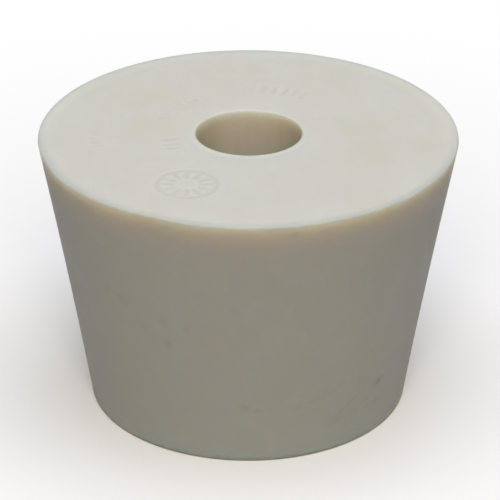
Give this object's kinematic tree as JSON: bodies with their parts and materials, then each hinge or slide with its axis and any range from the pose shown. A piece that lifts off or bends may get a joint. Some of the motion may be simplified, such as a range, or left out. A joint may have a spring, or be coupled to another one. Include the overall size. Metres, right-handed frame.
{
  "type": "rubber stopper",
  "caption": "Tapered rubber stopper: a plain truncated cone with one straight bore through its axis, two flat ends and softly rounded rims, for sealing a neck round a tube.",
  "frame": {"origin": "centre of the small end's flat face, on the axis of the bore", "axes": "+Z along the bore, from the small end up to the large end; X and Y are alike, because the stopper is round"},
  "size_m": [0.037, 0.037, 0.025],
  "materials": {
    "rubber": "satin"
  },
  "bodies": {
    "root": {"stopper": "rubber"}
  },
  "joints": []
}
